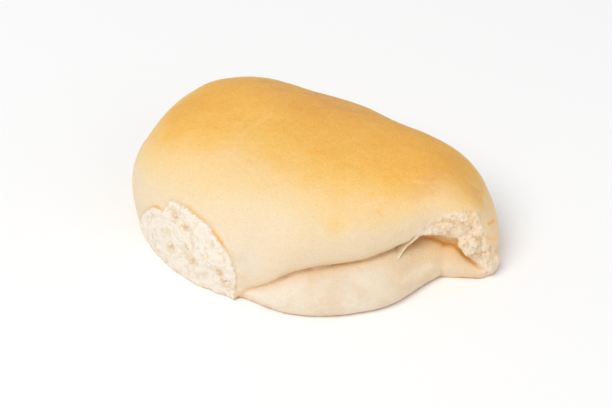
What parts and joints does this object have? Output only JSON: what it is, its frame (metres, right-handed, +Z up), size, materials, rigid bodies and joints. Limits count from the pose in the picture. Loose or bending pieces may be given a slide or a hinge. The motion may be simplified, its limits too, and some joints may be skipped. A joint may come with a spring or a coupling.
{
  "type": "coco bread",
  "caption": "Soft folded bread: a golden domed half over a pale lower lip, with a torn crumb face at one end and a small open mouth at the other, on a flat sole.",
  "frame": {"origin": "the middle of the bounding box's base, on the flat sole that the bread rests on", "axes": "+X runs along the bread from its broad left end to its pointed right corner, +Y from the open edge of the fold to the folded back, +Z up"},
  "size_m": [0.1474, 0.1126, 0.053],
  "materials": {
    "crust": "soft matte baked crust, golden on top, paler down the sides, with near-white torn crumb"
  },
  "bodies": {
    "root": {"coco_bread": "crust"}
  },
  "joints": []
}
